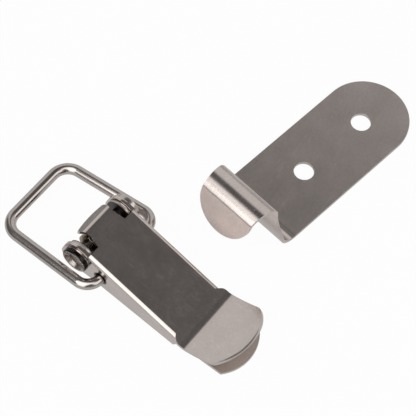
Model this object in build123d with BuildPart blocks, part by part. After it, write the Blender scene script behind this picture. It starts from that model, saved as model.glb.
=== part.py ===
"""Over centre toggle latch: a latch on its base, and the strike that its bail pulls on."""

import os
from math import cos, radians, sin, tan

from build123d import *

os.makedirs("parts", exist_ok=True)

# Lengths are in millimetres and angles in degrees. Z = 0 is the surface that both halves
# are screwed to, and the origin is midway between the two holes of the base.
sheet = 0.8                  # thickness of every pressed sheet
screw_hole = 4.6             # diameter of the four mounting holes

# Base and pivot
base_hole_spacing = 18.0
base_hole_setback = 7.0      # pivot to the nearer base hole
pin_height = 8.4
pin_radius = 1.6
base_width = 13.6
base_bend_radius = 0.6       # inner radius of the side folds
base_tail = 40.6             # pivot to the end of the base
base_tail_arc = 10.0         # radius of the end of the base
base_ear_radius = 3.3
base_ear_shoulder = 3.0      # radius where an ear runs into its flange
base_flange_height = 2.4     # height of the low flange behind the ears
base_flange_taper = 22.0     # pivot to where the low flange begins to run out
base_flange_end = 26.0       # pivot to where the low flange ends
bush_gap = 0.35              # bush to the underside of the lever
bush_clearance = 1.9         # end of the bush to a base ear
ear_gap = 0.1                # side clearance, base ear to lever ear
pin_fit = 0.05               # radial clearance where a part turns on the pin
rivet_fit = 0.01             # radial clearance where the rivet is swaged tight
head_radius = 3.1
head_height = 1.4
head_bevel = 0.2
dish_radius = 2.5
dish_depth = 0.8
dish_floor_radius = 1.7      # flat middle of the dish

# Lever
lever_slope = 17.9           # fall of the closed lever's top towards the grip
lever_top = 3.8              # pivot to the top face of the lever
lever_fold_radius = 0.25     # inner radius of the side folds
lever_bend = 28.0            # pivot to the grip bend, along the top face
lever_side_depth = 9.1       # depth of a side at the pivot
lever_side_taper = 11.35     # angle between the top and the lower edge of a side
lever_side_end = 27.2        # pivot to the rear end of a side
lever_chin_radius = 2.6      # corner below the front of a side
lever_heel_radius = 1.6      # corner at the rear end of a side
notch_back = 1.75            # pivot to the back of the corner notches
tongue_root = 8.9            # width left between the notches, at their back
tongue_neck = 7.6            # width at the lip bend
lip_width = 8.9              # width at the end of the lip
lip_reach = 1.7              # pivot to the lip bend
lip_bend_radius = 0.7        # inner radius of the lip bend
lip_angle = 55.0
lip_length = 2.0
lip_bow = 0.35               # the lip's end stands this much further out at its middle
lip_corner = 0.5
grip_width = 16.6
grip_flare = 2.1             # length over which the top widens to the grip
grip_bend_radius = 3.0       # inner radius where the grip leaves the top
grip_turn = 30.4             # first rise of the grip from the lever's top
grip_curve_radius = 27.5
grip_curve = 24.6            # further rise along the grip
grip_end_radius = 10.2       # arc across the end of the grip
grip_corner = 2.4

# Bail
wire_radius = 1.25
bail_setback = 6.5           # pivot to bail axis, along the lever
bail_drop = 0.35             # pivot to bail axis, square to the lever's top
bail_fit = 0.1               # radial clearance of the wire in the lever
bail_rim = 0.25              # bevel round the wire holes
bail_sag = 4.3               # fall of the bail from level towards its bar
bail_reach = 24.8            # bail axis to the middle of the bar
bail_rear_width = 22.6       # between wire centres at the hinge
bail_front_width = 20.4      # between wire centres at the bar
bail_front_radius = 4.0
bail_rear_radius = 3.2
bail_tip = 1.3               # wire standing inside a side of the lever

# Strike
strike_x = 8.55              # middle of the round end
strike_y = 64.46
strike_turn = -6.95          # turn of the strike about Z
strike_width = 20.0
strike_hole_spacing = 18.8
strike_hole_inset = 11.6     # end of the plate to the first hole
strike_foot = 33.4           # middle of the round end to the start of the bend
strike_bend_radius = 4.5     # inner radius between plate and wall
strike_lean = 4.5            # lean of the wall away from the plate
strike_wall = 8.1            # straight length of the wall
strike_shoulder = 4.8        # height where the wall starts to narrow
strike_waist = 10.2          # height where it has nearly the hook's width
strike_waist_width = 15.8
strike_waist_radius = 10.0   # along the edges of the wall, where it narrows
hook_radius = 3.9            # inner radius of the hook
hook_sweep = 126.0
hook_width = 15.6            # where the hook leaves the wall
hook_crease_width = 14.1     # at the last fold and across the round-ended lip
hook_neck = 14.0             # height where the hook's width begins
hook_fold_radius = 0.3
hook_fold = 31.0             # turn of the last fold, down to the hook's lip
hook_lip = 7.5

pin_x = -base_hole_setback - base_hole_spacing / 2
pivot = (pin_x, 0, pin_height)
pivot_side = Plane(pivot, x_dir=(1, 0, 0), z_dir=(0, -1, 0))
pivot_line = Axis(pivot, (0, 1, 0))
ear_outside = base_width / 2
ear_inside = ear_outside - sheet
side_inside = ear_outside + ear_gap
side_outside = side_inside + sheet

# Base: a channel with two ears at the pivot, running back into low flanges and a flat tail.
base_front = pin_x - base_ear_radius
base_end = pin_x + base_tail
flange_end = pin_x + base_flange_end
with BuildPart() as base:
    with BuildSketch(Plane.YZ.offset(base_front)):
        with BuildLine():
            FilletPolyline(
                (-ear_outside, 2 * pin_height),
                (-ear_outside, 0),
                (ear_outside, 0),
                (ear_outside, 2 * pin_height),
                radius=base_bend_radius + sheet,
            )
            offset(amount=sheet, side=Side.LEFT)
        make_face()
    extrude(amount=flange_end - base_front)
    with BuildSketch(Plane.XZ) as profile:
        with BuildLine():
            Polyline(
                (base_front, pin_height),
                (base_front, 0),
                (flange_end, 0),
                (flange_end, sheet),
                (pin_x + base_flange_taper, base_flange_height),
                (pin_x + base_ear_radius, base_flange_height),
                (pin_x + base_ear_radius, pin_height),
                close=True,
            )
        make_face()
        behind_ear = profile.vertices().group_by(Axis.X)[2].sort_by(Axis.Y)[0]
        fillet(behind_ear, base_ear_shoulder)
        with Locations((pin_x, pin_height)):
            Circle(base_ear_radius)
    extrude(amount=ear_outside, both=True, mode=Mode.INTERSECT)
    with BuildSketch():
        with Locations((base_end - base_tail_arc, 0)):
            Circle(base_tail_arc)
        with Locations(((flange_end + base_end) / 2, 0)):
            Rectangle(base_end - flange_end, base_width, mode=Mode.INTERSECT)
    extrude(amount=sheet)
    with Locations((-base_hole_spacing / 2, 0, sheet), (base_hole_spacing / 2, 0, sheet)):
        Hole(screw_hole / 2, depth=sheet)
    with BuildSketch(pivot_side):
        Circle(pin_radius + rivet_fit)
    extrude(amount=ear_outside, both=True, mode=Mode.SUBTRACT)

# Rivet: a shank through both pairs of ears, with a dished head at each end.
head_seat = side_outside + ear_gap / 2
head_face = head_seat + head_height
with BuildPart() as pivot_rivet:
    with BuildSketch(Plane(pivot, x_dir=(1, 0, 0), z_dir=(0, 0, 1))):
        with BuildLine():
            Polyline(
                (0, 0),
                (pin_radius, 0),
                (pin_radius, head_seat),
                (head_radius, head_seat),
                (head_radius, head_face - head_bevel),
                (head_radius - head_bevel, head_face),
                (dish_radius, head_face),
                (dish_floor_radius, head_face - dish_depth),
                (0, head_face - dish_depth),
                close=True,
            )
        make_face()
    revolve(axis=pivot_line)
    mirror(about=Plane.XZ)

# Bush: a plain roller on the middle of the shank.
bush_radius = lever_top - sheet - bush_gap
with BuildPart() as pivot_bush:
    with BuildSketch(pivot_side):
        Circle(bush_radius)
        Circle(pin_radius + rivet_fit, mode=Mode.SUBTRACT)
    extrude(amount=ear_inside - bush_clearance, both=True)

# Lever: one folded sheet. Its sketches lie square to the top face, with the pivot at (0, 0).
slope = radians(lever_slope)
along_lever = Vector(cos(slope), 0, -sin(slope))
above_lever = Vector(sin(slope), 0, cos(slope))
lever_side = Plane(pivot, x_dir=along_lever, z_dir=(0, -1, 0))
lever_plan = Plane(pivot + lever_top * above_lever, x_dir=along_lever, z_dir=above_lever)
lower_front = lever_top - lever_side_depth
lower_rear = lower_front + lever_side_end * tan(radians(lever_side_taper))
with BuildSketch(lever_side) as side_outline:
    with BuildLine():
        CenterArc((0, 0), lever_top, 90, 90)
        Polyline(
            (-lever_top, 0),
            (-lever_top, lower_front),
            (lever_side_end, lower_rear),
            (lever_bend, lever_top - sheet),
            (lever_bend, lever_top),
            (0, lever_top),
        )
    make_face()
    lowest = side_outline.vertices().sort_by(Axis.Y)[:2].sort_by(Axis.X)
    fillet(lowest[0], lever_chin_radius)
    fillet(lowest[1], lever_heel_radius)
notch_plane = Plane(lever_side.from_local_coords((notch_back, 0, 0)), x_dir=(0, 1, 0), z_dir=along_lever)
with BuildPart() as folded:
    with BuildSketch(notch_plane):
        with BuildLine():
            FilletPolyline(
                (side_outside, lower_front),
                (side_outside, lever_top),
                (-side_outside, lever_top),
                (-side_outside, lower_front),
                radius=lever_fold_radius + sheet,
            )
            offset(amount=sheet, side=Side.LEFT)
        make_face()
    extrude(amount=lever_bend - notch_back)
    extrude(side_outline.sketch, amount=side_outside, both=True, mode=Mode.INTERSECT)
with BuildPart() as tongue:
    with BuildSketch(lever_side):
        with BuildLine():
            top = Line((notch_back, lever_top), (-lip_reach, lever_top))
            bend = JernArc(top @ 1, top % 1, lip_bend_radius + sheet, lip_angle)
            lip = Line(bend @ 1, bend @ 1 + lip_length * (bend % 1))
            offset(amount=sheet, side=Side.LEFT)
        make_face()
    extrude(amount=tongue_root / 2, both=True)
    lip_end = (lip @ 1).X
    with BuildSketch(lever_plan) as tongue_outline:
        with BuildLine():
            sides = Polyline(
                (lip_end + lip_bow, lip_width / 2),
                (-lip_reach, tongue_neck / 2),
                (notch_back, tongue_root / 2),
                (notch_back, -tongue_root / 2),
                (-lip_reach, -tongue_neck / 2),
                (lip_end + lip_bow, -lip_width / 2),
            )
            ThreePointArc(sides @ 0, (lip_end, 0), sides @ 1)
        make_face()
        fillet(tongue_outline.vertices().sort_by(Axis.X)[:2], lip_corner)
    extrude(amount=lever_side_depth, both=True, mode=Mode.INTERSECT)
grip_start = lever_bend - grip_flare
with BuildPart() as grip:
    with BuildSketch(lever_side):
        with BuildLine():
            rise = JernArc((lever_bend, lever_top), (1, 0), grip_bend_radius, grip_turn)
            bow = JernArc(rise @ 1, rise % 1, grip_curve_radius, grip_curve)
            offset(amount=sheet, side=Side.RIGHT)
        make_face()
    extrude(amount=grip_width / 2, both=True)
    grip_end = lever_side.from_local_coords(bow @ 1)
    grip_along = along_lever * (bow % 1).X + above_lever * (bow % 1).Y
    grip_face = Plane(grip_end, x_dir=(0, -1, 0), z_dir=grip_along.cross(Vector(0, 1, 0)))
    with BuildSketch(grip_face) as end_outline:
        with Locations((0, -grip_end_radius)):
            Circle(grip_end_radius)
        with Locations((0, -grip_width / 2)):
            Rectangle(grip_width, grip_width, mode=Mode.INTERSECT)
        with Locations((0, -grip_width)):
            Rectangle(grip_width, grip_width)
        fillet(end_outline.vertices().sort_by(Axis.Y)[-2:], grip_corner)
    extrude(amount=grip_width, both=True, mode=Mode.INTERSECT)
    with BuildSketch(lever_plan):
        with BuildLine():
            Spline(
                (grip_start, side_inside),
                (lever_bend, grip_width / 2),
                tangents=((1, 0.9), (1, 0)),
            )
            Line((lever_bend, grip_width / 2), (lever_bend, 0))
            Line((lever_bend, 0), (grip_start, 0))
            Line((grip_start, 0), (grip_start, side_inside))
        make_face()
        mirror(about=Plane.XZ)
    extrude(amount=-sheet)
with BuildPart() as lever:
    extrude(side_outline.sketch, amount=side_outside, both=True)
    with BuildSketch(lever_side):
        Rectangle(2 * lever_bend, 2 * lever_side_depth)
    extrude(amount=side_inside, both=True, mode=Mode.SUBTRACT)
    with BuildSketch(lever_side):
        with Locations((notch_back + lever_bend, 0)):
            Rectangle(2 * lever_bend, 2 * lever_side_depth)
    extrude(amount=side_outside, both=True, mode=Mode.SUBTRACT)
    add(folded.part)
    add(tongue.part)
    add(grip.part)
    with BuildSketch(lever_side):
        Circle(pin_radius + pin_fit)
        with Locations((bail_setback, -bail_drop)):
            Circle(wire_radius + bail_fit)
    extrude(amount=side_outside, both=True, mode=Mode.SUBTRACT)
    circles = lever.edges().filter_by(GeomType.CIRCLE)
    wire_rims = circles.filter_by(lambda edge: abs(edge.radius - wire_radius - bail_fit) < 0.01)
    outer_rims = wire_rims.filter_by(lambda edge: abs(abs(edge.center().Y) - side_outside) < 0.01)
    chamfer(outer_rims, bail_rim)

# Bail: one bent wire, level across, with both ends turned into the sides of the lever.
bail_pivot = lever_side.from_local_coords((bail_setback, -bail_drop, 0))
sag = radians(bail_sag)
bail_plane = Plane(bail_pivot, x_dir=(-cos(sag), 0, -sin(sag)), z_dir=(-sin(sag), 0, cos(sag)))
rear = bail_rear_width / 2
front = bail_front_width / 2
wire_end = side_inside - bail_tip
with BuildPart() as bail:
    with BuildLine(bail_plane) as wire:
        FilletPolyline(
            (0, -wire_end),
            (0, -rear),
            (bail_reach, -front),
            (bail_reach, front),
            (0, rear),
            (0, wire_end),
            radius=(bail_rear_radius, bail_front_radius, bail_front_radius, bail_rear_radius),
        )
    with BuildSketch(Plane(wire.line @ 0, z_dir=wire.line % 0)):
        Circle(wire_radius)
    sweep()

# Strike: one folded sheet, drawn from the side with the hook to the right.
turn = radians(strike_turn)
strike_across = Vector(cos(turn), sin(turn), 0)
strike_outward = Vector(sin(turn), -cos(turn), 0)
strike_middle = Vector(strike_x, strike_y, 0)
strike_side = Plane(strike_middle, x_dir=strike_outward, z_dir=-strike_across)
strike_plan = Plane(strike_middle, x_dir=strike_across, z_dir=(0, 0, 1))
strike_front = Plane(strike_middle, x_dir=strike_across, z_dir=strike_outward)
half_width = strike_width / 2
half_hook = hook_width / 2
half_crease = hook_crease_width / 2
strike_reach = half_width + strike_foot + 2 * hook_lip
with BuildPart() as strike:
    with BuildSketch(strike_side):
        with BuildLine():
            plate = Line((-half_width, sheet), (strike_foot, sheet))
            bend = JernArc(plate @ 1, plate % 1, strike_bend_radius, 90 - strike_lean)
            wall = Line(bend @ 1, bend @ 1 + strike_wall * (bend % 1))
            hook = JernArc(wall @ 1, wall % 1, hook_radius + sheet, -hook_sweep)
            fold = JernArc(hook @ 1, hook % 1, hook_fold_radius + sheet, -hook_fold)
            Line(fold @ 1, fold @ 1 + hook_lip * (fold % 1))
            offset(amount=sheet, side=Side.RIGHT)
        make_face()
    extrude(amount=half_width, both=True)
    hook_start = (wall @ 1).X + 2 * sheet
    with BuildSketch(strike_plan):
        with BuildLine():
            Polyline(
                (0, 0),
                (half_width, 0),
                (half_width, -hook_start),
                (half_hook, -hook_start),
                (half_crease, -(hook @ 1).X),
                (half_crease, -strike_reach),
                (0, -strike_reach),
                (0, 0),
            )
        make_face()
        mirror(about=Plane.YZ)
        Circle(half_width)
    extrude(amount=strike_reach, mode=Mode.INTERSECT)
    with BuildSketch(strike_front) as wall_outline:
        with BuildLine():
            Polyline(
                (-half_width, 0),
                (half_width, 0),
                (half_width, strike_shoulder),
                (strike_waist_width / 2, strike_waist),
                (half_hook, hook_neck),
                (half_hook, strike_reach),
                (-half_hook, strike_reach),
                (-half_hook, hook_neck),
                (-strike_waist_width / 2, strike_waist),
                (-half_width, strike_shoulder),
                close=True,
            )
        make_face()
        levels = wall_outline.vertices().group_by(Axis.Y)
        fillet(levels[1] + levels[2], strike_waist_radius)
    extrude(amount=strike_reach, both=True, mode=Mode.INTERSECT)
    lip_start = strike_side.from_local_coords(fold @ 1)
    lip_along = strike_outward * (fold % 1).X + Vector(0, 0, (fold % 1).Y)
    lip_face = Plane(lip_start, x_dir=strike_across, z_dir=strike_across.cross(lip_along))
    with BuildSketch(lip_face):
        with Locations((0, hook_lip)):
            Rectangle(strike_width, 2 * hook_lip)
        with Locations((0, hook_lip - half_crease)):
            Circle(half_crease, mode=Mode.SUBTRACT)
        Rectangle(strike_width, 2 * (hook_lip - half_crease), mode=Mode.SUBTRACT)
    extrude(amount=2 * sheet, both=True, mode=Mode.SUBTRACT)
    first_hole = half_width - strike_hole_inset
    with BuildSketch(strike_plan):
        with Locations((0, first_hole), (0, first_hole - strike_hole_spacing)):
            Circle(screw_hole / 2)
    extrude(amount=sheet, mode=Mode.SUBTRACT)

base.part.label = "base"
export_step(base.part, "parts/base.step")
pivot_rivet.part.label = "pivot_rivet"
export_step(pivot_rivet.part, "parts/pivot_rivet.step")
pivot_bush.part.label = "pivot_bush"
export_step(pivot_bush.part, "parts/pivot_bush.step")
lever.part.label = "lever"
export_step(lever.part, "parts/lever.step")
bail.part.label = "bail"
export_step(bail.part, "parts/bail.step")
strike.part.label = "strike"
export_step(strike.part, "parts/strike.step")
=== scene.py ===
from math import radians

import bmesh
import bpy
from mathutils import Matrix, Vector


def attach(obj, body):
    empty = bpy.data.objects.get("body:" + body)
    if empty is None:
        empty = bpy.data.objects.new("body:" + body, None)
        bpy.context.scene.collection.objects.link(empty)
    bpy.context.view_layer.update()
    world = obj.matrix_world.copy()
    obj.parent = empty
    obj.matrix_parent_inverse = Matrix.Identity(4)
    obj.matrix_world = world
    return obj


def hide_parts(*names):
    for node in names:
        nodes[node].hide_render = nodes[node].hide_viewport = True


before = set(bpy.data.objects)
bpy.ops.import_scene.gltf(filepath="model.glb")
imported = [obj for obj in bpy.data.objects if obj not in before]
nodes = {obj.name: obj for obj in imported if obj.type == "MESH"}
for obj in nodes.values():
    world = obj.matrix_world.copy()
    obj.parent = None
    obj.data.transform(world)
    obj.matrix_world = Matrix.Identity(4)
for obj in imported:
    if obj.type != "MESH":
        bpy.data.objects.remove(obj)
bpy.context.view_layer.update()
scene = bpy.context.scene
millimetre = 0.001
print("frame loaded:", ", ".join(sorted(nodes)))


# Shader helpers

def addNode(tree, kind, **values):
    node = tree.nodes.new(kind)
    for name, value in values.items():
        setattr(node, name, value)
    return node


def setInputs(node, **values):
    for name, value in values.items():
        node.inputs[name.replace("_", " ")].default_value = value


def newGroup(name, inputs, outputs):
    group = bpy.data.node_groups.new(name, "ShaderNodeTree")
    for label, kind in inputs:
        group.interface.new_socket(label, in_out="INPUT", socket_type=kind)
    for label, kind in outputs:
        group.interface.new_socket(label, in_out="OUTPUT", socket_type=kind)
    return group, group.nodes.new("NodeGroupInput"), group.nodes.new("NodeGroupOutput")


# First and second are each a number or a socket.
def mathNode(tree, operation, first, second=0.0, clamp=False):
    node = addNode(tree, "ShaderNodeMath", operation=operation, use_clamp=clamp)
    for index, value in enumerate((first, second)):
        if isinstance(value, (int, float)):
            node.inputs[index].default_value = value
        else:
            tree.links.new(value, node.inputs[index])
    return node.outputs[0]


def remap(tree, value, low, high, newLow=0.0, newHigh=1.0, smooth=False):
    node = addNode(tree, "ShaderNodeMapRange", interpolation_type="SMOOTHSTEP" if smooth else "LINEAR")
    tree.links.new(value, node.inputs["Value"])
    setInputs(node, From_Min=low, From_Max=high, To_Min=newLow, To_Max=newHigh)
    return node.outputs["Result"]


def noise(tree, vector, scale, detail=2.0, roughness=0.5):
    node = addNode(tree, "ShaderNodeTexNoise")
    setInputs(node, Scale=scale, Detail=detail, Roughness=roughness)
    tree.links.new(vector, node.inputs["Vector"])
    return node.outputs["Fac"]


def splitAxes(tree, vector):
    node = addNode(tree, "ShaderNodeSeparateXYZ")
    tree.links.new(vector, node.inputs[0])
    return node.outputs


# Rolled stainless: faint streaks, cloudy handling marks, fine mottling, hairlines and bright specks.
rolledSettings = {
    "streaks": {"stretch": (260, 6000, 6000), "detail": 3.0, "roughness": 0.6},
    "clouds": {"scale": 150.0, "detail": 4.0, "roughness": 0.6},
    "mottle": {"scale": 1300.0, "detail": 5.0, "roughness": 0.75},
    "hairlines": {
        "stretch": (70, 900, 70), "width": (0.004, 0.018), "patches": (0.52, 0.62), "strength": 0.5,
        "families": ({"turn": 0.5, "patchScale": 520.0}, {"turn": -0.8, "patchScale": 610.0}),
    },
    "specks": {
        "scale": 2900.0, "cut": (0.65, 0.73), "patchScale": 330.0, "patches": (0.4, 0.6), "strength": 1.8,
    },
    "roughened": 0.3, "relief": 0.6, "markDepth": 0.4,
}


def makeRolledSteel(settings):
    amounts = ("Streaks", "Clouds", "Mottle", "Scratches")
    group, given, result = newGroup(
        "rolledSteel",
        [("Vector", "NodeSocketVector")] + [(amount, "NodeSocketFloat") for amount in amounts],
        [(output, "NodeSocketFloat") for output in ("Tone", "Roughness", "Height")],
    )
    vector = given.outputs["Vector"]

    def stretched(turn, scale):
        node = addNode(group, "ShaderNodeMapping")
        setInputs(node, Rotation=(0, 0, turn), Scale=scale)
        group.links.new(vector, node.inputs["Vector"])
        return node.outputs["Vector"]

    def centred(value, amount):
        return mathNode(group, "MULTIPLY", mathNode(group, "SUBTRACT", value, 0.5), given.outputs[amount])

    def cloudy(part, where=vector):
        return noise(group, where, part.get("scale", 1.0), part["detail"], part["roughness"])

    def patchy(value, scale, patches):
        return mathNode(group, "MULTIPLY", value, remap(group, noise(group, vector, scale), *patches))

    streaks = centred(cloudy(settings["streaks"], stretched(0, settings["streaks"]["stretch"])), "Streaks")
    clouds = centred(cloudy(settings["clouds"]), "Clouds")
    mottle = centred(cloudy(settings["mottle"]), "Mottle")

    lines = settings["hairlines"]
    marks = 0.0
    for family in lines["families"]:        # thin level lines of a stretched noise
        field = noise(group, stretched(family["turn"], lines["stretch"]), 1.0, 1.0)
        offLine = mathNode(group, "ABSOLUTE", mathNode(group, "SUBTRACT", field, 0.5))
        line = remap(group, offLine, *lines["width"], 1.0, 0.0)
        marks = mathNode(group, "MAXIMUM", patchy(line, family["patchScale"], lines["patches"]), marks)
    marks = mathNode(group, "MULTIPLY", marks, lines["strength"])

    specks = settings["specks"]
    speck = remap(group, noise(group, vector, specks["scale"]), *specks["cut"])
    speck = patchy(speck, specks["patchScale"], specks["patches"])
    marks = mathNode(group, "MAXIMUM", marks, mathNode(group, "MULTIPLY", speck, specks["strength"]))
    marks = mathNode(group, "MULTIPLY", marks, given.outputs["Scratches"])

    uneven = mathNode(group, "ADD", mathNode(group, "ADD", streaks, clouds), mottle)
    marked = mathNode(group, "ADD", uneven, marks)
    relief = mathNode(group, "MULTIPLY", mathNode(group, "ADD", streaks, mottle), settings["relief"])
    cut = mathNode(group, "MULTIPLY", marks, settings["markDepth"])
    group.links.new(mathNode(group, "ADD", 1.0, marked), result.inputs["Tone"])
    group.links.new(mathNode(group, "MULTIPLY", marked, settings["roughened"]), result.inputs["Roughness"])
    group.links.new(mathNode(group, "SUBTRACT", relief, cut), result.inputs["Height"])
    return group


rolledSteel = makeRolledSteel(rolledSettings)


# In millimetres: the distance from an axis that runs across the latch, how far out to either side
# of the middle a place is, and how far out to the near side.
def makeAroundAxis():
    group, given, result = newGroup(
        "aroundAxis",
        [("Vector", "NodeSocketVector"), ("Along", "NodeSocketFloat"), ("Up", "NodeSocketFloat")],
        [(output, "NodeSocketFloat") for output in ("Distance", "Side", "Near")],
    )
    scaled = addNode(group, "ShaderNodeVectorMath", operation="SCALE")
    setInputs(scaled, Scale=1 / millimetre)
    group.links.new(given.outputs["Vector"], scaled.inputs[0])
    axes = splitAxes(group, scaled.outputs["Vector"])
    run = mathNode(group, "SUBTRACT", axes["X"], given.outputs["Along"])
    rise = mathNode(group, "SUBTRACT", axes["Z"], given.outputs["Up"])
    squares = mathNode(group, "ADD", mathNode(group, "MULTIPLY", run, run),
                       mathNode(group, "MULTIPLY", rise, rise))
    group.links.new(mathNode(group, "SQRT", squares), result.inputs["Distance"])
    group.links.new(mathNode(group, "ABSOLUTE", axes["Y"]), result.inputs["Side"])
    group.links.new(mathNode(group, "MULTIPLY", axes["Y"], -1.0), result.inputs["Near"])
    return group


aroundAxis = makeAroundAxis()
pinAxis = (-16.0, 8.4)          # X and Z of the rivet, in millimetres
wireAxis = (-9.92, 6.07)        # X and Z of the bail's ends
polished = 0.08                 # no steel here is smoother than this
bumpDistance = 0.04 * millimetre


def makeMetal(name, look):
    material = bpy.data.materials.new(name)
    material.use_nodes = True
    tree = material.node_tree
    shader = tree.nodes["Principled BSDF"]
    setInputs(shader, Metallic=1.0)
    place = addNode(tree, "ShaderNodeTexCoord").outputs["Object"]
    heightAbove = splitAxes(tree, place)["Z"]

    def measuredFrom(axis):
        node = addNode(tree, "ShaderNodeGroup", node_tree=aroundAxis)
        setInputs(node, Along=axis[0], Up=axis[1])
        tree.links.new(place, node.inputs["Vector"])
        return node.outputs

    def darkened(tone, share):
        return mathNode(tree, "MULTIPLY", tone, mathNode(tree, "SUBTRACT", 1.0, share))

    turn = addNode(tree, "ShaderNodeMapping")
    setInputs(turn, Rotation=look["grain"])
    tree.links.new(place, turn.inputs["Vector"])
    steel = addNode(tree, "ShaderNodeGroup", node_tree=rolledSteel)
    setInputs(steel, Streaks=look["streaks"], Clouds=look["clouds"], Mottle=look["mottle"],
              Scratches=look["scratches"])
    tree.links.new(turn.outputs["Vector"], steel.inputs["Vector"])
    tone = steel.outputs["Tone"]
    roughness = mathNode(tree, "ADD", steel.outputs["Roughness"], look["roughness"])
    relief = steel.outputs["Height"]

    for band in look["bands"]:              # heights where forming has rubbed or roughened the sheet, and where painted shade darkens it and painted light makes it paler
        low, lowFull, highFull, high = (level * millimetre for level in band["heights"])
        rising = remap(tree, heightAbove, low, lowFull)
        cover = mathNode(tree, "MULTIPLY", remap(tree, heightAbove, highFull, high, 1.0, 0.0), rising)
        roughness = mathNode(tree, "ADD", roughness, mathNode(tree, "MULTIPLY", cover, band["rougher"]))
        tone = darkened(tone, mathNode(tree, "MULTIPLY", cover, band["darker"]))

    paintedShade = 0.0
    for patch in look["paintedShade"]:               # painted shade in joints, recesses and along the plate: each patch starts at the first measure and is full at the second
        around = measuredFrom(patch["axis"])
        cover = patch["depth"]
        for measure in ("Distance", "Side", "Near"):
            if measure in patch:
                cover = mathNode(tree, "MULTIPLY", remap(tree, around[measure], *patch[measure]), cover)
        paintedShade = mathNode(tree, "MAXIMUM", cover, paintedShade)
    tone = darkened(tone, paintedShade)

    if "rings" in look:                     # left by the riveting tool
        rings = look["rings"]
        turns = mathNode(tree, "MULTIPLY", measuredFrom(rings["axis"])["Distance"], rings["perMillimetre"])
        ring = mathNode(tree, "MULTIPLY", mathNode(tree, "SINE", turns), rings["depth"])
        relief = mathNode(tree, "ADD", relief, ring)

    tint = addNode(tree, "ShaderNodeMix", data_type="RGBA", blend_type="MULTIPLY")
    setInputs(tint, Factor=1.0, A=(*look["colour"], 1.0))
    tree.links.new(tone, tint.inputs["B"])
    tree.links.new(tint.outputs["Result"], shader.inputs["Base Color"])
    tree.links.new(mathNode(tree, "MAXIMUM", roughness, polished, clamp=True), shader.inputs["Roughness"])
    bump = addNode(tree, "ShaderNodeBump")
    setInputs(bump, Strength=look["bump"], Distance=bumpDistance)
    tree.links.new(relief, bump.inputs["Height"])
    tree.links.new(bump.outputs["Normal"], shader.inputs["Normal"])
    return material


# Pieces: each keeps the shape of its solid, with its sharp edges broken.

meshSettings = {"merge": 0.002, "flat": 0.4, "segments": 3}     # millimetres, degrees, steps across an edge


def deburred(name, body, look):
    mesh = nodes[name].data.copy()
    mesh.materials.clear()
    work = bmesh.new()
    work.from_mesh(mesh)
    bmesh.ops.remove_doubles(work, verts=work.verts[:], dist=meshSettings["merge"] * millimetre)
    bmesh.ops.dissolve_limit(
        work, angle_limit=radians(meshSettings["flat"]), verts=work.verts[:], edges=work.edges[:],
    )
    for top, width in look["edges"]:
        sharp = [edge for edge in work.edges if len(edge.link_faces) == 2
                 and edge.calc_face_angle(0.0) > radians(look["sharpAngle"])
                 and max(corner.co.z for corner in edge.verts) < top * millimetre]
        bmesh.ops.bevel(
            work, geom=sharp, offset=width * millimetre, offset_type="OFFSET", affect="EDGES",
            segments=meshSettings["segments"], profile=0.5, clamp_overlap=True, material=-1,
        )
    for face in work.faces:
        face.smooth = True
    work.to_mesh(mesh)
    work.free()
    mesh.materials.append(makeMetal(name + "Steel", look))
    made = bpy.data.objects.new(name + "Finished", mesh)
    scene.collection.objects.link(made)
    flat = made.modifiers.new("flatFaces", "WEIGHTED_NORMAL")
    flat.keep_sharp = True
    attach(made, body)
    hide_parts(name)
    print("made", made.name)


# In every look, edges holds pairs of a height and the width broken off the edges below it, and an
# edge counts as sharp from sharpAngle degrees. A band's four heights are where it starts, is full,
# starts to end and has ended. All lengths in a look are in millimetres.
everywhere = 20                 # above the top of every piece

leverLook = {
    "slot": "lever", "edges": ((everywhere, 0.2),), "sharpAngle": 35,
    "colour": (0.68, 0.615, 0.585), "roughness": 0.17, "bump": 0.5, "grain": (0, radians(-17.9), 0),
    "streaks": 0.1, "clouds": 0.25, "mottle": 0.2, "scratches": 0.13,
    "bands": (),
    # painted shade inside the ears round the pivot and in the holes where the bail enters
    "paintedShade": (
        {"axis": pinAxis, "depth": 0.85, "Distance": (3.35, 3.15), "Side": (7.2, 6.95)},
        {"axis": wireAxis, "depth": 0.85, "Distance": (1.85, 1.6)},
    ),
}
deburred("lever", "lever", leverLook)

baseLook = {
    "slot": "base", "edges": ((everywhere, 0.2),), "sharpAngle": 35,
    "colour": (0.66, 0.59, 0.54), "roughness": 0.4, "bump": 0.5, "grain": (0, 0, 0),
    "streaks": 0.15, "clouds": 0.3, "mottle": 0.25, "scratches": 0.05,
    "bands": (),
    # painted shade inside the ears and on the base round the pivot, under the lever
    "paintedShade": (
        {"axis": pinAxis, "depth": 0.85, "Distance": (9.0, 6.0), "Side": (6.3, 6.05)},
    ),
}
deburred("base", "base", baseLook)

strikeLook = {
    "slot": "strike", "edges": ((0.85, 0.26), (everywhere, 0.12)), "sharpAngle": 35,
    "colour": (0.8, 0.717, 0.682), "roughness": 0.31, "bump": 1.3, "grain": (0, 0, radians(83)),
    "streaks": 0.12, "clouds": 0.25, "mottle": 0.3, "scratches": 0.14,
    "bands": (
        {"heights": (-1.0, -0.5, 0.805, 0.82), "rougher": 0.0, "darker": 0.19},         # plate: painted shade, darker than the rest of the sheet
        {"heights": (0.803, 0.82, 1.0, 1.12), "rougher": -0.1, "darker": 0.68},         # start of the bend: smoother, with a painted dark reflection
        {"heights": (0.95, 1.1, 2.5, 4.5), "rougher": -0.18, "darker": 0.0},            # rest of the bend
        {"heights": (5.0, 8.0, 15.7, 16.1), "rougher": 0.3, "darker": 0.0},             # wall and lip
        {"heights": (8.0, 11.0, 15.8, 16.0), "rougher": 0.0, "darker": -0.27},          # and paler higher up: painted light
        {"heights": (16.4, 17.2, 19.0, 20.0), "rougher": -0.12, "darker": 0.0},         # crown of the hook
    ),
    "paintedShade": (                                # painted shade on the plate: darker towards the hook, fading towards the round end
        {"axis": pinAxis, "depth": 0.15, "Near": (-74.0, -34.0)},
    ),
}
deburred("strike", "base", strikeLook)

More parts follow.
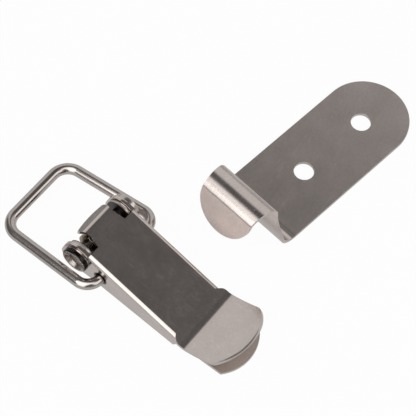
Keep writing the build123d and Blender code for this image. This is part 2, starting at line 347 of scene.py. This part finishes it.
bailLook = {
    "slot": "wire", "edges": ((everywhere, 0.08),), "sharpAngle": 50,
    "colour": (0.58, 0.53, 0.505), "roughness": 0.16, "bump": 0.2, "grain": (0, 0, 0),
    "streaks": 0.2, "clouds": 0.2, "mottle": 0.15, "scratches": 0.04,
    "bands": (),
    # painted shade on the wire where it enters the lever's sides
    "paintedShade": (
        {"axis": wireAxis, "depth": 0.85, "Distance": (3.0, 2.0), "Side": (8.3, 7.8)},
    ),
}
deburred("bail", "bail", bailLook)

rivetLook = {
    "slot": "rivet", "edges": ((everywhere, 0.05),), "sharpAngle": 35,
    "colour": (0.6, 0.545, 0.515), "roughness": 0.22, "bump": 0.25, "grain": (0, 0, 0),
    "streaks": 0.0, "clouds": 0.3, "mottle": 0.2, "scratches": 0.05,
    "bands": (),
    # painted shade in the joint: a black crescent round the near head's rim, the shank between the ears, and
    # the dishes of the heads
    "paintedShade": (
        {"axis": pinAxis, "depth": 0.95, "Distance": (2.8, 3.0), "Near": (7.95, 8.15)},  # near rim
        {"axis": pinAxis, "depth": 0.9, "Distance": (2.2, 1.9), "Side": (7.6, 7.2)},     # shank
        {"axis": pinAxis, "depth": 0.45, "Distance": (2.5, 1.6), "Side": (8.2, 8.6)},    # dishes
    ),
    "rings": {"axis": pinAxis, "perMillimetre": 70.0, "depth": 0.25},
}
deburred("pivot_rivet", "base", rivetLook)

bushLook = {
    "slot": "bush", "edges": ((everywhere, 0.05),), "sharpAngle": 35,
    "colour": (0.42, 0.35, 0.27), "roughness": 0.2, "bump": 0.2, "grain": (0, 0, 0),
    "streaks": 0.0, "clouds": 0.3, "mottle": 0.2, "scratches": 0.05,
    "bands": (),
    "paintedShade": (),
}
deburred("pivot_bush", "base", bushLook)


# Paper under the object: white to the camera, and to the metal bright near it and dim further out.
def makeFloor(settings):
    work = bmesh.new()
    bmesh.ops.create_grid(work, x_segments=1, y_segments=1, size=settings["size"])
    mesh = bpy.data.meshes.new("studioFloor")
    bmesh.ops.translate(work, verts=work.verts[:], vec=(0, 0, settings["height"]))
    work.to_mesh(mesh)
    work.free()
    floor = bpy.data.objects.new("studioFloor", mesh)
    scene.collection.objects.link(floor)
    material = bpy.data.materials.new("studioPaper")
    material.use_nodes = True
    tree = material.node_tree
    shader = tree.nodes["Principled BSDF"]
    setInputs(shader, Base_Color=(*settings["colour"], 1.0), Roughness=settings["roughness"])
    glow = addNode(tree, "ShaderNodeEmission")
    path = addNode(tree, "ShaderNodeLightPath")
    seen = path.outputs["Is Camera Ray"]
    share = mathNode(tree, "MULTIPLY", mathNode(tree, "MAXIMUM", seen, path.outputs["Is Glossy Ray"]),
                     settings["share"])
    place = addNode(tree, "ShaderNodeTexCoord")
    reach = addNode(tree, "ShaderNodeVectorMath", operation="LENGTH")
    tree.links.new(place.outputs["Object"], reach.inputs[0])
    fading = remap(tree, reach.outputs["Value"], *settings["fades"], settings["mirrored"], settings["beyond"])
    tree.links.new(mathNode(tree, "MAXIMUM", seen, fading), glow.inputs["Strength"])
    mix = addNode(tree, "ShaderNodeMixShader")
    tree.links.new(share, mix.inputs["Fac"])
    tree.links.new(shader.outputs["BSDF"], mix.inputs[1])
    tree.links.new(glow.outputs["Emission"], mix.inputs[2])
    tree.links.new(mix.outputs["Shader"], tree.nodes["Material Output"].inputs["Surface"])
    mesh.materials.append(material)
    print("floor made")


floorSettings = {
    "size": 3.0, "height": -0.02 * millimetre, "colour": (0.8, 0.8, 0.8), "roughness": 0.9,
    "share": 0.96,                          # of the paper's own glow to the camera and the metal
    "mirrored": 0.6, "beyond": 0.12,        # glow that the metal sees near the object and far from it
    "fades": (0.09, 0.17),                  # metres from the middle
}
makeFloor(floorSettings)


# The room: pale walls with brighter and darker panels. Each edge of a panel fades in from its first
# value to its second, along one axis of the direction looked in.
def makeStudio(settings):
    world = bpy.data.worlds.new("studio")
    scene.world = world
    world.use_nodes = True
    tree = world.node_tree
    background = tree.nodes["Background"]
    setInputs(background, Color=(*settings["colour"], 1.0))
    axes = splitAxes(tree, addNode(tree, "ShaderNodeTexCoord").outputs["Generated"])
    level = settings["walls"]
    for panel in settings["panels"]:
        mask = 1.0
        for axis, start, end in panel["edges"]:
            mask = mathNode(tree, "MULTIPLY", remap(tree, axes[axis], start, end, smooth=True), mask)
        rise = mathNode(tree, "SUBTRACT", panel["level"], level)
        level = mathNode(tree, "ADD", mathNode(tree, "MULTIPLY", rise, mask), level)
    path = addNode(tree, "ShaderNodeLightPath")
    level = mathNode(tree, "MAXIMUM", level, path.outputs["Is Camera Ray"])
    tree.links.new(level, background.inputs["Strength"])
    print("studio made")


studioSettings = {
    "colour": (1.0, 0.985, 0.97), "walls": 0.67,
    "panels": (
        # ceiling
        {"level": 0.1, "edges": (("Z", 0.66, 0.86), ("X", -0.62, -0.48), ("Y", 0.64, 0.47))},
        # near side, to the left of the window
        {"level": 0.15, "edges": (("X", -0.35, -0.43), ("Y", 0.2, 0.0), ("Z", -0.05, 0.1))},
        # window on the near side
        {"level": 1.65, "edges": (("X", -0.43, -0.35), ("Y", 0.12, -0.25), ("Z", 0.0, 0.15))},
        # near side, low on the left
        {"level": 0.13, "edges": (("X", -0.15, -0.33), ("Y", -0.3, -0.5), ("Z", 0.7, 0.2))},
        # near side, to the right of the window
        {"level": 0.15, "edges": (("X", 0.3, 0.45), ("Y", -0.2, -0.4))},
        # bright panel on the right, and the dark strip below it
        {"level": 1.3, "edges": (("X", 0.48, 0.58), ("Y", -0.4, -0.15), ("Z", 0.3, 0.45))},
        {"level": 0.2, "edges": (("X", 0.5, 0.7), ("Z", 0.35, 0.2))},
    ),
}
makeStudio(studioSettings)


def makeLamp(name, settings):
    data = bpy.data.lights.new(name, "AREA")
    data.shape = "RECTANGLE"
    data.size, data.size_y = settings["size"]
    data.energy = settings["power"]
    lamp = bpy.data.objects.new(name, data)
    lamp.location = settings["place"]
    aim = Vector(settings["aim"]) - lamp.location
    lamp.rotation_euler = aim.to_track_quat("-Z", "Y").to_euler()
    scene.collection.objects.link(lamp)
    print("lamp made")


lampSettings = {"place": (-0.1, -0.45, 0.5), "aim": (0, 0.03, 0), "size": (0.4, 0.3), "power": 0.5}
makeLamp("nearLamp", lampSettings)


# The focal length and the width of the picture are in pixels, the place of the eye in millimetres.
cameraSettings = {
    "eye": (112.524, -164.508, 378.953),
    "right": (0.78933, 0.61116, 0.05876),
    "up": (-0.55276, 0.66572, 0.50127),
    "focal": 2000.2, "width": 416, "sensor": 36.0, "nearest": 0.01, "farthest": 20.0,
}


def makeCamera(settings):
    data = bpy.data.cameras.new("camera")
    data.sensor_width = settings["sensor"]
    data.lens = settings["focal"] * data.sensor_width / settings["width"]
    data.clip_start = settings["nearest"]
    data.clip_end = settings["farthest"]
    camera = bpy.data.objects.new("camera", data)
    right = Vector(settings["right"]).normalized()
    up = Vector(settings["up"]).normalized()
    turned = Matrix((right, up, right.cross(up))).transposed().to_4x4()
    camera.matrix_world = Matrix.Translation(Vector(settings["eye"]) * millimetre) @ turned
    scene.collection.objects.link(camera)
    scene.camera = camera
    print("camera set")


makeCamera(cameraSettings)
scene.view_settings.view_transform = "Standard"
